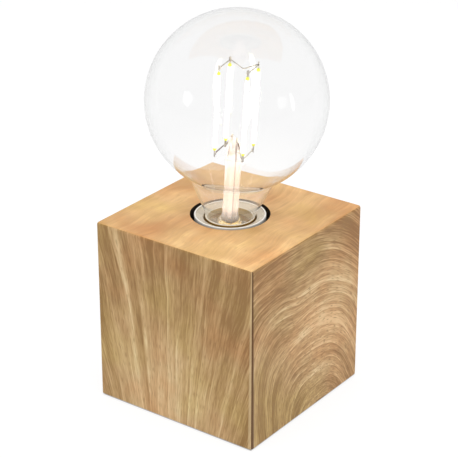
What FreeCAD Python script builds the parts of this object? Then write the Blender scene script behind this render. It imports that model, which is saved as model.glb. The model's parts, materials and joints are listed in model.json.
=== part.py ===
import FreeCAD, Part
import math
import os
from FreeCAD import Vector

# Bare bulb table lamp: a mitred wooden cube with an E27 lampholder sunk in its top and a clear
# globe bulb whose four LED filaments stand in a cage on a glass stem.
# Lengths are in millimetres and angles in degrees. Z points up, the origin is on the table under
# the middle of the cube, and the front board faces -Y.

# ---- wooden body ----------------------------------------------------------------------------
BODY_SIDE = 100.0  # outer width and depth of the cube
BODY_HEIGHT = 102.0  # height of the boards
BOARD = 10.0  # board thickness
EDGE_ROUND = 1.5  # eased outer edges
HOLE_RADIUS = 21.25  # round hole for the lampholder
BLOCK_SIDE = 12.0  # glue blocks in the four inner corners
BLOCK_HEIGHT = 30.0
BLOCK_CHAMFER = 4.0

# ---- base plate, feet and screws ------------------------------------------------------------
BASE_THICK = 6.0
BASE_RECESS = 2.0  # how far the plate sits up inside the boards
BASE_CLEARANCE = 0.25  # between the plate and the boards
FOOT_STAND = 1.0  # the feet lift the boards by this much
FOOT_RADIUS = 5.0
FOOT_INSET = 24.0  # from the outside of the cube to a foot's centre
SCREW_RADIUS = 1.75
SCREW_HEAD_RADIUS = 3.4
SCREW_HEAD_HEIGHT = 2.0
BASE_SCREW_LENGTH = 22.0
BRACKET_SCREW_LENGTH = 11.0
SCREW_CLEARANCE = 0.25  # in the pieces that a screw passes through
PILOT_CLEARANCE = 0.05  # in the wood that a screw holds in

# ---- cord bush in the back board ------------------------------------------------------------
BUSH_BORE_RADIUS = 3.4
BUSH_WALL = 2.0
BUSH_FLANGE = 2.0  # how far the flange stands out from the barrel
BUSH_FLANGE_THICK = 1.5
BUSH_INSIDE = 1.5  # how far the barrel shows inside the cube
BUSH_HEIGHT = 21.0  # centre of the bore above the table
BUSH_CLEARANCE = 0.1

# ---- lampholder and its bracket -------------------------------------------------------------
HOLDER_RADIUS = 19.0
CAP_HEIGHT = 22.0  # lower cup of the holder, up to the joint with the sleeve
CAP_WALL = 2.0
CAP_NECK_RADIUS = 9.0
CAP_NECK_HEIGHT = 4.0
CAP_DOME_HEIGHT = 8.0  # from the neck to the full radius
CAP_FLOOR = 8.0  # length of thread for the tube
CAP_CHAMBER_WALL = 4.0  # between the cup's lower chamber and its ledge
SPIGOT_LENGTH = 6.0  # the part of the sleeve that screws into the cup
SPIGOT_CLEARANCE = 0.2
SLEEVE_BORE_RADIUS = 14.0
RIM_LIP = 0.9  # bright lip round the holder's mouth
RIM_STEP = 0.7  # from the lip down to the dished mouth
DISH_DEPTH = 1.1  # fall of the dish from the lip to the bore
INSERT_HEIGHT = 8.0
INSERT_CLEARANCE = 0.2
WIRE_HOLE_RADIUS = 1.6
WIRE_HOLE_OFFSET = 8.0
SHELL_PLAY = 0.75  # between the sleeve's bore and the brass shell
SHELL_WALL = 0.35  # drawn brass
SHELL_FLANGE = 2.3  # inward flange that stands on the insert
SHELL_TO_SKIRT = 0.7  # from the shell up to the plain band of the bulb's cap
STRIP_THICK = 0.5  # contact strips
STRIP_WIDTH = 6.0
STRIP_CLEARANCE = 0.1
TERMINAL_OFFSET = 7.5
TERMINAL_RADIUS = 1.5
TERMINAL_HEAD_RADIUS = 2.7
TERMINAL_HEAD_HEIGHT = 1.8
TERMINAL_LENGTH = 7.0
TERMINAL_CLEARANCE = 0.1
CONTACT_RISE = 4.6  # from the insert up to the bulb's tip
CONTACT_PAD = 2.5  # half length of the flat under the bulb's tip
CONTACT_TAIL = 1.6  # turned-down end beyond it
TUBE_RADIUS = 5.0  # M10 threaded tube
TUBE_BORE_RADIUS = 3.75
TUBE_BELOW = 6.5  # from the bracket down to the tube's end
THREAD_CLEARANCE = 0.15
NUT_ACROSS_FLATS = 14.0
NUT_HEIGHT = 3.5
WASHER_RADIUS = 7.5
WASHER_THICK = 1.0
STRAP_THICK = 1.5  # folded steel strap
STRAP_WIDTH = 18.0
STRAP_BEND = 1.5  # inner bend radius
STRAP_CLEARANCE = 3.5  # between the strap's legs and the holder
EAR_LENGTH = 13.0
EAR_SCREW = 6.5  # from the ear's end to its screw

# ---- bulb -----------------------------------------------------------------------------------
BULB_RADIUS = 47.5  # 95 mm globe
BULB_CENTRE = 64.4  # from the cap's upper edge up to the middle of the globe
BULB_SINK = 1.4  # the cap's upper edge lies this far below the holder's rim
BULB_LEAN = 3.1  # the glass is cemented to its cap slightly askew
LEAN_DIRECTION = 45.0  # compass of that lean, from +X towards +Y
GLASS_WALL = 0.8
FLARE_RADIUS = 12.0  # hollow curve between the globe and its neck
NECK_HALF_ANGLE = 25.0
NECK_SEAT = 3.0  # length of glass inside the cap
NECK_STRAIGHT = 1.7  # the part of it below the foot of the neck's cone
CAP_LENGTH = 27.0  # from the cap's upper edge to its tip
MOUTH_CLEARANCE = 0.8  # between the cap's plain band and the sleeve's bore
SKIRT_HEIGHT = 2.4  # plain band above the cap's thread
THREAD_HEIGHT = 18.8
SHOULDER_HEIGHT = 2.4  # taper below the thread
CAP_SHEET = 0.3
INSULATOR_RADIUS = 8.1
INSULATOR_INSIDE = 1.2
INSULATOR_FACE = 5.4  # radius of the flat that the tip sits on
TIP_RADIUS = 4.8
TIP_HEIGHT = 1.2
TIP_CHAMFER = 0.7
TIP_PEG_RADIUS = 1.0
TIP_PEG_HEIGHT = 2.5
PEG_CLEARANCE = 0.3
SOCKET_CLEARANCE = 0.3  # all round, between the cap's thread and the holder's shell
GLASS_CLEARANCE = 0.45  # between the neck and the inside of the cap, filled with cement

# ---- inside the bulb, measured up from the cap's upper edge ---------------------------------
STEM_RADIUS = 4.2
STEM_WALL = 0.8
FLANGE_PLAY = 0.3  # between the stem's flange and the neck that is melted onto it
STEM_TUBE_TOP = 33.0
STEM_FLARE = 3.0  # splay of the tube into its flange
STEM_SHOULDER = 3.0  # solid glass between the tube and the pinch
PINCH_TOP = 43.0  # the flattened glass that the leads pass through
PINCH_THICK = 4.4
EXHAUST_RADIUS = 1.5
EXHAUST_BORE_RADIUS = 0.9
WIRE_RADIUS = 0.3
WIRE_HOLE_PLAY = 0.05
WIRE_TO_TAB = 0.05  # between a tab and the wire that ties it
WELD_LENGTH = 1.2  # run of a wire along a tab
LEAD_OFFSET = 2.5
LEAD_HEIGHT = 2.6  # above the pinch before the lead turns outwards
CAGE_RADIUS = 11.0
CAGE_ANGLE = 240.0  # compass of the first filament
CAGE_LOW = 38.0  # lower ends of the lit strips
FILAMENT_LENGTH = 43.0
FILAMENT_RADIUS = 0.95
TAB_LENGTH = 3.4
TAB_WIDTH = 1.2
TAB_THICK = 0.25
TIE_BEND_RADIUS = 4.0  # where the upper tie wire passes the axis
TIE_BEND_ANGLE = 100.0  # compass of that bend, counted from the first filament
BOARD_THICK = 1.0  # driver board
BOARD_HEIGHT = 15.0
BOARD_PLAY = 0.3
BOARD_BELOW_GLASS = 1.5
CAPACITOR_RADIUS = 3.2
CAPACITOR_HEIGHT = 9.0
CAPACITOR_OFFSET = 5.0
CHIP_LENGTH = 6.0
CHIP_HEIGHT = 5.0
CHIP_THICK = 1.6

# ---- values that follow from the sizes above ------------------------------------------------
half = BODY_SIDE / 2
inner_half = half - BOARD
board_foot = FOOT_STAND
top = FOOT_STAND + BODY_HEIGHT
ceiling = top - BOARD
ear_low = ceiling - STRAP_THICK
base_low = board_foot + BASE_RECESS
base_top = base_low + BASE_THICK
spigot_radius = HOLDER_RADIUS - CAP_WALL - SPIGOT_CLEARANCE
insert_radius = SLEEVE_BORE_RADIUS - INSERT_CLEARANCE
seat = top - BULB_SINK
tip_low = seat - CAP_LENGTH
insert_top = tip_low - CONTACT_RISE
ledge = insert_top - INSERT_HEIGHT
joint = ledge + SPIGOT_LENGTH
holder_foot = joint - CAP_HEIGHT
shell_outer = SLEEVE_BORE_RADIUS - SHELL_PLAY
shell_inner = shell_outer - SHELL_WALL
shell_top = seat - SKIRT_HEIGHT - SHELL_TO_SKIRT
thread_radius = shell_inner - SOCKET_CLEARANCE
skirt_radius = SLEEVE_BORE_RADIUS - MOUTH_CLEARANCE
neck_radius = thread_radius - CAP_SHEET - GLASS_CLEARANCE
cone_foot = NECK_STRAIGHT - NECK_SEAT
cage_top = CAGE_LOW + FILAMENT_LENGTH
lead_level = CAGE_LOW - TAB_LENGTH / 2
tie_level = cage_top + TAB_LENGTH / 2
contact_heel = TERMINAL_OFFSET - TERMINAL_HEAD_RADIUS - STRIP_CLEARANCE - STRIP_THICK
wire_ring = CAGE_RADIUS - TAB_THICK / 2 - WIRE_RADIUS - WIRE_TO_TAB
thread_foot = -SKIRT_HEIGHT - THREAD_HEIGHT
cap_shoulder = thread_foot - SHOULDER_HEIGHT
board_top = -NECK_SEAT - BOARD_BELOW_GLASS
head_seat = base_low + SCREW_HEAD_HEIGHT
block_centre = inner_half - BLOCK_SIDE / 2
foot_centre = half - FOOT_INSET
Z = Vector(0, 0, 1)


# ---- helpers --------------------------------------------------------------------------------
def turned(*profile):
    """Solid turned about Z from a closed outline of (radius, height) corners."""
    corners = [Vector(radius, 0, height) for radius, height in profile]
    return Part.Face(Part.makePolygon(corners + corners[:1])).revolve(Vector(), Z, 360)


def rod(radius, low, high, x=0.0, y=0.0):
    """Upright cylinder between two heights."""
    return Part.makeCylinder(radius, high - low, Vector(x, y, low))


def slab(width, depth, low, high, x=0.0, y=0.0):
    """Upright block centred on (x, y) between two heights."""
    return Part.makeBox(width, depth, high - low, Vector(x - width / 2, y - depth / 2, low))


def moved(shape, x=0.0, y=0.0, z=0.0):
    """Copy of a shape, shifted."""
    return shape.translated(Vector(x, y, z))


def turned_by(shape, degrees):
    """Copy of a shape, turned about Z."""
    return shape.rotated(Vector(), Z, degrees)


def at_compass(radius, degrees, height):
    """Point at a radius from the axis, a compass angle and a height."""
    angle = math.radians(degrees)
    return Vector(radius * math.cos(angle), radius * math.sin(angle), height)


def four_corners(offset):
    """The four points that lie this far out along both X and Y."""
    return [(x, y) for x in (-offset, offset) for y in (-offset, offset)]


def write(name, *solids):
    """One STEP file for one piece, or for a set of identical pieces."""
    shape = solids[0] if len(solids) == 1 else Part.makeCompound(list(solids))
    shape.exportStep("parts/%s.step" % name)


# ---- wooden body ----------------------------------------------------------------------------
def carcass():
    """The cube as one block with its upright and upper edges eased."""
    block = slab(BODY_SIDE, BODY_SIDE, board_foot, top)
    eased = [edge for edge in block.Edges if edge.BoundBox.ZMax > top - EDGE_ROUND]
    return block.makeFillet(EDGE_ROUND, eased)


def front_board():
    """A board with its two ends and its upper edge mitred, cut out of the carcass."""
    wedge = Part.makeWedge(
        -half, -half, board_foot, board_foot, -inner_half,
        half, -inner_half, top, ceiling, inner_half,
    )
    return carcass().common(wedge).Solids[0]


def back_board():
    """The board away from the viewer, with the stepped hole for the cord bush."""
    barrel = BUSH_BORE_RADIUS + BUSH_WALL + BUSH_CLEARANCE
    flange = barrel + BUSH_FLANGE
    hole = turned((0, -BOARD), (barrel, -BOARD), (barrel, -BUSH_FLANGE_THICK),
                  (flange, -BUSH_FLANGE_THICK), (flange, 0), (0, 0))
    return turned_by(front_board(), 180).cut(to_back(hole))


def to_back(shape):
    """Lays a turned shape down so that its top faces out of the back board at the cord's height."""
    return moved(shape.rotated(Vector(), Vector(1, 0, 0), -90), y=half, z=BUSH_HEIGHT)


def top_board():
    """The mitred top with the lampholder's hole and the pilot holes of the bracket's screws."""
    wedge = Part.makeWedge(
        -half, 0, -half, -inner_half, -inner_half,
        half, BOARD, half, inner_half, inner_half,
    )
    wedge = moved(wedge.rotated(Vector(), Vector(1, 0, 0), -90), z=top)
    board = carcass().common(wedge).cut(rod(HOLE_RADIUS, ceiling, top))
    point = ear_low - SCREW_HEAD_HEIGHT + BRACKET_SCREW_LENGTH
    for x in bracket_screw_places():
        board = board.cut(rod(SCREW_RADIUS + PILOT_CLEARANCE, ceiling, point, x))
    return board.Solids[0]


def corner_block(x, y):
    """Glue block with its inner edge taken off and a pilot hole for a base screw."""
    block = slab(BLOCK_SIDE, BLOCK_SIDE, base_top, base_top + BLOCK_HEIGHT, x, y)
    inner = [edge for edge in block.Edges
             if edge.BoundBox.XLength + edge.BoundBox.YLength < EDGE_ROUND
             and abs(edge.BoundBox.Center.x) < abs(x)
             and abs(edge.BoundBox.Center.y) < abs(y)]
    block = block.makeChamfer(BLOCK_CHAMFER, inner)
    reach = base_low + BASE_SCREW_LENGTH
    return block.cut(rod(SCREW_RADIUS + PILOT_CLEARANCE, base_top, reach, x, y))


# ---- base plate, feet and screws ------------------------------------------------------------
def wood_screw(length, head_low):
    """Cheese-head screw pointing up, its shank starting from the top of the head."""
    head = rod(SCREW_HEAD_RADIUS, head_low, head_low + SCREW_HEAD_HEIGHT)
    return head.fuse(rod(SCREW_RADIUS, head_low + SCREW_HEAD_HEIGHT, head_low + length))


def base_plate():
    """Plate that closes the cube, counterbored for the heads of its four screws."""
    side = 2 * (inner_half - BASE_CLEARANCE)
    plate = slab(side, side, base_low, base_top)
    for x, y in four_corners(block_centre):
        head = rod(SCREW_HEAD_RADIUS + SCREW_CLEARANCE, base_low, head_seat, x, y)
        shank = rod(SCREW_RADIUS + SCREW_CLEARANCE, head_seat, base_top, x, y)
        plate = plate.cut(head).cut(shank)
    return plate


def foot(x, y):
    """Rubber pad, glued under the plate and standing on the table."""
    return rod(FOOT_RADIUS, 0, base_low, x, y)


def cord_bush():
    """Flanged bush, flush with the back board, that the cord passes through."""
    bore = BUSH_BORE_RADIUS
    barrel = bore + BUSH_WALL
    inside = -BOARD - BUSH_INSIDE
    return to_back(turned((bore, inside), (barrel, inside), (barrel, -BUSH_FLANGE_THICK),
                          (barrel + BUSH_FLANGE, -BUSH_FLANGE_THICK),
                          (barrel + BUSH_FLANGE, 0), (bore, 0)))


# ---- lampholder -----------------------------------------------------------------------------
def bracket_screw_places():
    """X of the two screws that hold the strap under the top board."""
    out = HOLDER_RADIUS + STRAP_CLEARANCE + STRAP_THICK + EAR_LENGTH - EAR_SCREW
    return (-out, out)


def bracket():
    """Steel strap folded to a U: two ears under the top board and a web under the holder."""
    leg = HOLDER_RADIUS + STRAP_CLEARANCE
    ear = leg + STRAP_THICK + EAR_LENGTH
    web_low = holder_foot - STRAP_THICK
    right = [(leg + STRAP_THICK, web_low), (leg + STRAP_THICK, ear_low),
             (ear, ear_low), (ear, ceiling), (leg, ceiling), (leg, holder_foot)]
    outline = right + [(-x, z) for x, z in reversed(right)]
    corners = [Vector(x, -STRAP_WIDTH / 2, z) for x, z in outline]
    strap = Part.Face(Part.makePolygon(corners + corners[:1])).extrude(
        Vector(0, STRAP_WIDTH, 0))
    outer = STRAP_BEND + STRAP_THICK
    strap = eased_folds(strap, [(leg + STRAP_THICK, web_low), (leg, ceiling)], outer)
    strap = eased_folds(strap, [(leg + STRAP_THICK, ear_low), (leg, holder_foot)], STRAP_BEND)
    strap = strap.cut(rod(TUBE_RADIUS + THREAD_CLEARANCE, web_low, holder_foot))
    for x in bracket_screw_places():
        hole = rod(SCREW_RADIUS + SCREW_CLEARANCE, ear_low, ceiling, x)
        strap = strap.cut(hole)
    return strap


def eased_folds(strap, places, radius):
    """Rounds the folds that lie at these (x, z) places, on both sides of the holder."""
    folds = [edge for edge in strap.Edges for x, z in places
             if abs(abs(edge.BoundBox.Center.x) - x) < 0.01
             and abs(edge.BoundBox.Center.z - z) < 0.01 and edge.BoundBox.YLength > 1]
    return strap.makeFillet(radius, folds)


def threaded_tube():
    """Hollow threaded tube that hangs the holder on its bracket and lets the cord in."""
    low = holder_foot - STRAP_THICK - TUBE_BELOW
    high = holder_foot + CAP_FLOOR
    return turned((TUBE_BORE_RADIUS, low), (TUBE_RADIUS, low), (TUBE_RADIUS, high),
                  (TUBE_BORE_RADIUS, high))


def tube_washer():
    """Flat washer under the bracket."""
    high = holder_foot - STRAP_THICK
    bore = TUBE_RADIUS + THREAD_CLEARANCE
    return turned((bore, high - WASHER_THICK), (WASHER_RADIUS, high - WASHER_THICK),
                  (WASHER_RADIUS, high), (bore, high))


def tube_nut():
    """Hexagon nut below the washer."""
    high = holder_foot - STRAP_THICK - WASHER_THICK
    corner = NUT_ACROSS_FLATS / 2 / math.cos(math.radians(30))
    ring = [at_compass(corner, 60 * k, high - NUT_HEIGHT) for k in range(6)]
    hexagon = Part.Face(Part.makePolygon(ring + ring[:1])).extrude(Vector(0, 0, NUT_HEIGHT))
    return hexagon.cut(rod(TUBE_RADIUS + THREAD_CLEARANCE, high - NUT_HEIGHT, high))


def holder_cap():
    """Moulded cup: threaded neck, domed shoulder, ledge for the insert and seat for the sleeve."""
    bore = TUBE_RADIUS + THREAD_CLEARANCE
    neck_top = holder_foot + CAP_NECK_HEIGHT
    dome_top = neck_top + CAP_DOME_HEIGHT
    mouth = HOLDER_RADIUS - CAP_WALL
    chamber = mouth - CAP_CHAMBER_WALL
    floor = holder_foot + CAP_FLOOR
    return turned(
        (bore, holder_foot), (CAP_NECK_RADIUS, holder_foot), (CAP_NECK_RADIUS, neck_top),
        (HOLDER_RADIUS, dome_top), (HOLDER_RADIUS, joint), (mouth, joint), (mouth, ledge),
        (chamber, ledge), (chamber, floor), (bore, floor),
    )


def holder_insert():
    """Ceramic block that carries the contacts, with slots for their strips."""
    block = rod(insert_radius, ledge, insert_top)
    width = STRIP_WIDTH + 2 * STRIP_CLEARANCE
    low = insert_top - STRIP_THICK
    inner = contact_heel - STRIP_THICK
    for sign, outer in ((-1, strip_reach() + STRIP_CLEARANCE), (1, insert_radius)):
        middle = sign * (inner + outer) / 2
        block = block.cut(slab(outer - inner, width, low, insert_top, middle))
        hole = rod(TERMINAL_RADIUS + TERMINAL_CLEARANCE, ledge, low, sign * TERMINAL_OFFSET)
        wire_hole = rod(WIRE_HOLE_RADIUS, ledge, insert_top, 0, sign * WIRE_HOLE_OFFSET)
        block = block.cut(hole).cut(wire_hole)
    return block


def strip_reach():
    """How far the centre contact's foot may reach without meeting the brass shell."""
    return shell_outer - SHELL_WALL - SHELL_FLANGE - SPIGOT_CLEARANCE - STRIP_CLEARANCE


def holder_sleeve():
    """Sleeve that screws into the cup, clamps the insert and ends in the dished mouth."""
    lip = HOLDER_RADIUS - RIM_LIP
    return turned(
        (SLEEVE_BORE_RADIUS, ledge), (spigot_radius, ledge), (spigot_radius, joint),
        (HOLDER_RADIUS, joint), (HOLDER_RADIUS, top), (lip, top), (lip, top - RIM_STEP),
        (SLEEVE_BORE_RADIUS, top - RIM_STEP - DISH_DEPTH),
    )


def screw_shell():
    """Brass shell that the bulb's cap screws into, standing on the insert by its flange."""
    flange = shell_inner - SHELL_FLANGE
    return turned(
        (flange, insert_top), (shell_outer, insert_top), (shell_outer, shell_top),
        (shell_inner, shell_top), (shell_inner, insert_top + SHELL_WALL),
        (flange, insert_top + SHELL_WALL),
    )


def strip(outline):
    """Contact strip: a side view in X and Z, as wide as the strip, drilled for its screw."""
    corners = [Vector(x, -STRIP_WIDTH / 2, z) for x, z in outline]
    blank = Part.Face(Part.makePolygon(corners + corners[:1])).extrude(
        Vector(0, STRIP_WIDTH, 0))
    side = math.copysign(TERMINAL_OFFSET, outline[0][0])
    hole = TERMINAL_RADIUS + TERMINAL_CLEARANCE
    return blank.cut(rod(hole, insert_top - STRIP_THICK, insert_top, side))


def centre_contact():
    """Sprung strip that rises from its screw to the tip of the bulb."""
    low = insert_top - STRIP_THICK
    heel = -contact_heel
    pad = tip_low - STRIP_THICK
    return strip([(-strip_reach(), low), (heel, low), (-CONTACT_PAD, pad), (CONTACT_PAD, pad),
                  (CONTACT_PAD + CONTACT_TAIL, pad - CONTACT_TAIL),
                  (CONTACT_PAD + CONTACT_TAIL + STRIP_THICK, tip_low - CONTACT_TAIL),
                  (CONTACT_PAD + STRIP_THICK, tip_low), (-CONTACT_PAD - STRIP_THICK, tip_low),
                  (heel - STRIP_THICK, insert_top), (-strip_reach(), insert_top)])


def shell_contact():
    """Flat strip that runs from its screw to under the brass shell's flange."""
    low = insert_top - STRIP_THICK
    inner = TERMINAL_OFFSET - STRIP_WIDTH / 2
    outer = math.sqrt(insert_radius ** 2 - (STRIP_WIDTH / 2) ** 2)
    return strip([(inner, low), (outer, low), (outer, insert_top), (inner, insert_top)])


def terminal_screw(x):
    """Cheese-head screw that clamps a strip to the insert."""
    screw = turned((0, -TERMINAL_LENGTH), (TERMINAL_RADIUS, -TERMINAL_LENGTH),
                   (TERMINAL_RADIUS, 0), (TERMINAL_HEAD_RADIUS, 0),
                   (TERMINAL_HEAD_RADIUS, TERMINAL_HEAD_HEIGHT), (0, TERMINAL_HEAD_HEIGHT))
    return moved(screw, x, 0, insert_top)


# ---- bulb -----------------------------------------------------------------------------------
# The bulb's pieces are drawn about Z with the cap's upper edge at height 0. seated() puts the
# cap's pieces into the holder, and leaned() does the same for the glass and what is inside it.
def seated(shape):
    """Lifts a piece of the cap to its place in the holder."""
    return moved(shape, z=seat)


def leaned(shape):
    """Tips a piece of the glass about the middle of the cap's upper edge, then lifts it."""
    compass = math.radians(LEAN_DIRECTION)
    hinge = Vector(-math.sin(compass), math.cos(compass), 0)
    return seated(shape.rotated(Vector(), hinge, BULB_LEAN))


def glass_outline(inset):
    """Outline of the blown glass from neck to crown, moved inwards by the inset.

    The neck is a short cylinder and a cone. A hollow arc touches the cone and the globe.
    """
    slope = math.radians(NECK_HALF_ANGLE)
    crown = BULB_RADIUS - inset
    hollow = FLARE_RADIUS + inset
    start_radius = neck_radius - inset / math.cos(slope)
    # Centre of the hollow arc: its own radius off the cone, both radii off the globe's centre.
    offset_x = start_radius + hollow * math.cos(slope)
    offset_z = cone_foot - hollow * math.sin(slope) - BULB_CENTRE
    along = offset_x * math.sin(slope) + offset_z * math.cos(slope)
    apart = offset_x ** 2 + offset_z ** 2 - (crown + hollow) ** 2
    run = -along - math.sqrt(along ** 2 - apart)
    hollow_x = offset_x + run * math.sin(slope)
    hollow_z = offset_z + run * math.cos(slope) + BULB_CENTRE
    meets_globe = math.atan2(hollow_z - BULB_CENTRE, hollow_x)
    flare = (hollow_x, hollow_z, hollow)
    ball = (0.0, BULB_CENTRE, crown)
    neck = Vector(neck_radius - inset, 0, -NECK_SEAT)
    foot_of_cone = Vector(start_radius, 0, cone_foot)
    return [
        Part.LineSegment(neck, foot_of_cone),
        Part.LineSegment(foot_of_cone, on_circle(flare, math.pi - slope)),
        arc(flare, math.pi - slope, math.pi + meets_globe),
        arc(ball, meets_globe, math.pi / 2),
    ]


def on_circle(circle, angle):
    """Point at an angle on a circle (x, z, radius) in the outline's plane."""
    x, z, radius = circle
    return Vector(x + radius * math.cos(angle), 0, z + radius * math.sin(angle))


def arc(circle, first, last):
    """Arc of such a circle between two angles."""
    return Part.Arc(*[on_circle(circle, angle) for angle in (first, (first + last) / 2, last)])


def globe():
    """Blown glass envelope, one even wall thick, open at the end of its neck."""
    outside = glass_outline(0.0)
    inside = glass_outline(GLASS_WALL)
    crown = Part.LineSegment(outside[-1].EndPoint, inside[-1].EndPoint)
    rim = Part.LineSegment(inside[0].StartPoint, outside[0].StartPoint)
    edges = [curve.toShape() for curve in (*outside, crown, *reversed(inside), rim)]
    return leaned(Part.Face(Part.Wire(edges)).revolve(Vector(), Z, 360))


def bulb_cap():
    """Sheet shell of the screw cap, its thread drawn as the cylinder midway up its ridges."""
    mouth = INSULATOR_RADIUS + WIRE_HOLE_PLAY
    outer = [(mouth + CAP_SHEET, cap_shoulder), (thread_radius, thread_foot),
             (thread_radius, -SKIRT_HEIGHT), (skirt_radius, -SKIRT_HEIGHT), (skirt_radius, 0.0)]
    skirt_inner = skirt_radius - CAP_SHEET
    thread_inner = thread_radius - CAP_SHEET
    inner = [(skirt_inner, 0.0), (skirt_inner, CAP_SHEET - SKIRT_HEIGHT),
             (thread_inner, CAP_SHEET - SKIRT_HEIGHT), (thread_inner, thread_foot),
             (mouth, cap_shoulder + CAP_SHEET), (mouth, cap_shoulder)]
    return seated(turned(*outer, *inner))


def cap_cement():
    """Ring of cement on the cap's step, between its plain band and the tilted glass neck."""
    ring = seated(rod(skirt_radius - CAP_SHEET, CAP_SHEET - SKIRT_HEIGHT, 0))
    widest = neck_radius + (NECK_SEAT - cone_foot) * math.tan(math.radians(NECK_HALF_ANGLE))
    neck = turned((0, -NECK_SEAT), (neck_radius, -NECK_SEAT), (neck_radius, cone_foot),
                  (widest, NECK_SEAT), (0, NECK_SEAT))
    return ring.cut(leaned(neck))


def cap_insulator():
    """Glass bead that closes the cap and holds its tip apart from the shell."""
    high = cap_shoulder + INSULATOR_INSIDE
    low = TIP_HEIGHT - CAP_LENGTH
    hole = TIP_PEG_RADIUS + PEG_CLEARANCE
    return seated(turned((hole, high), (INSULATOR_RADIUS, high), (INSULATOR_RADIUS, cap_shoulder),
                         (INSULATOR_FACE, low), (hole, low)))


def cap_tip():
    """Contact button with the peg that passes up through the bead."""
    top_face = TIP_HEIGHT - CAP_LENGTH
    return seated(turned(
        (0, -CAP_LENGTH), (TIP_RADIUS - 2 * TIP_CHAMFER, -CAP_LENGTH),
        (TIP_RADIUS, TIP_CHAMFER - CAP_LENGTH), (TIP_RADIUS, top_face),
        (TIP_PEG_RADIUS, top_face), (TIP_PEG_RADIUS, top_face + TIP_PEG_HEIGHT),
        (0, top_face + TIP_PEG_HEIGHT),
    ))


def driver_board():
    """Circuit board that stands across the inside of the cap."""
    width = 2 * (thread_radius - CAP_SHEET - BOARD_PLAY)
    return seated(slab(width, BOARD_THICK, board_top - BOARD_HEIGHT, board_top))


def driver_capacitor():
    """Round capacitor against one side of the board."""
    y = BOARD_THICK / 2 + CAPACITOR_RADIUS
    middle = board_top - BOARD_HEIGHT / 2
    reach = CAPACITOR_HEIGHT / 2
    return seated(rod(CAPACITOR_RADIUS, middle - reach, middle + reach, -CAPACITOR_OFFSET, y))


def driver_chip():
    """Flat regulator on the other side of the board."""
    y = -(BOARD_THICK + CHIP_THICK) / 2
    middle = board_top - BOARD_HEIGHT / 2
    reach = CHIP_HEIGHT / 2
    return seated(slab(CHIP_LENGTH, CHIP_THICK, middle - reach, middle + reach, 0, y))


def stem():
    """Glass stem: a flange that seals the neck, a tube, and a flat pinch round the two leads."""
    flange = neck_radius - GLASS_WALL - FLANGE_PLAY
    bore = STEM_RADIUS - STEM_WALL
    flange_top = STEM_WALL - NECK_SEAT
    body = turned(
        (bore, -NECK_SEAT), (flange, -NECK_SEAT), (flange, flange_top),
        (STEM_RADIUS + STEM_FLARE, flange_top), (STEM_RADIUS, flange_top + STEM_FLARE),
        (STEM_RADIUS, PINCH_TOP), (0, PINCH_TOP), (0, STEM_TUBE_TOP), (bore, STEM_TUBE_TOP),
    )
    pinch_foot = STEM_TUBE_TOP + STEM_SHOULDER
    for side in (-1, 1):
        off = side * (PINCH_THICK / 2 + STEM_RADIUS)
        body = body.cut(slab(4 * STEM_RADIUS, 2 * STEM_RADIUS, pinch_foot, PINCH_TOP, 0, off))
        hole = rod(WIRE_RADIUS + WIRE_HOLE_PLAY, STEM_TUBE_TOP, PINCH_TOP, side * LEAD_OFFSET)
        body = body.cut(hole)
    return leaned(turned_by(body, lead_turn()))


def lead_turn():
    """Compass of the pinch: its first lead rises under the second filament."""
    return CAGE_ANGLE - 90


def exhaust_tube():
    """Thin tube inside the stem, through which the bulb was pumped out."""
    return leaned(turned((EXHAUST_BORE_RADIUS, -NECK_SEAT / 2), (EXHAUST_RADIUS, -NECK_SEAT / 2),
                         (EXHAUST_RADIUS, STEM_TUBE_TOP), (EXHAUST_BORE_RADIUS, STEM_TUBE_TOP)))


def wire(*points):
    """Round wire along straight runs, mitred where they meet."""
    path = Part.makePolygon(list(points))
    ends = Part.Circle(points[0], points[1] - points[0], WIRE_RADIUS).toShape()
    return path.makePipeShell([Part.Wire(ends)], True, False, 1)


def weld(turn, level, way):
    """The two ends of a wire's run along a tab, in the order met when going round this way."""
    radius = math.hypot(wire_ring, WELD_LENGTH / 2)
    aside = way * math.degrees(math.atan2(WELD_LENGTH / 2, wire_ring))
    return [at_compass(radius, turn - aside, level), at_compass(radius, turn + aside, level)]


def lead_wire(first_turn, second_turn):
    """Lead that rises through the pinch and ties the lower ends of two filaments."""
    foot_low = board_top + BOARD_PLAY
    rise = PINCH_TOP + LEAD_HEIGHT
    return leaned(wire(
        at_compass(LEAD_OFFSET, first_turn, foot_low), at_compass(LEAD_OFFSET, first_turn, rise),
        *weld(first_turn, lead_level, 1), *weld(second_turn, lead_level, 1),
    ))


def tie_wire():
    """Wire that ties the four upper ends and crosses over beside the axis."""
    first, second, third, fourth = filament_turns()[0], *filament_turns()[:0:-1]
    return leaned(wire(
        *weld(first, tie_level, -1), *weld(second, tie_level, -1),
        at_compass(TIE_BEND_RADIUS, CAGE_ANGLE + TIE_BEND_ANGLE, tie_level),
        *weld(third, tie_level, -1), *weld(fourth, tie_level, -1),
    ))


def filament_turns():
    """Compass of each filament, counted round the cage."""
    return [CAGE_ANGLE + 90 * k for k in range(4)]


def filament(turn):
    """Lit strip: a chip carrier under a round coat of phosphor."""
    place = at_compass(CAGE_RADIUS, turn, 0)
    return leaned(rod(FILAMENT_RADIUS, CAGE_LOW, cage_top, place.x, place.y))


def filament_tab(turn, low):
    """Flat metal end of a filament, which the wires are welded to."""
    tab = slab(TAB_THICK, TAB_WIDTH, low, low + TAB_LENGTH, CAGE_RADIUS)
    return leaned(turned_by(tab, turn))


# ---- write every piece ----------------------------------------------------------------------
os.makedirs("parts", exist_ok=True)
turns = filament_turns()

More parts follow.
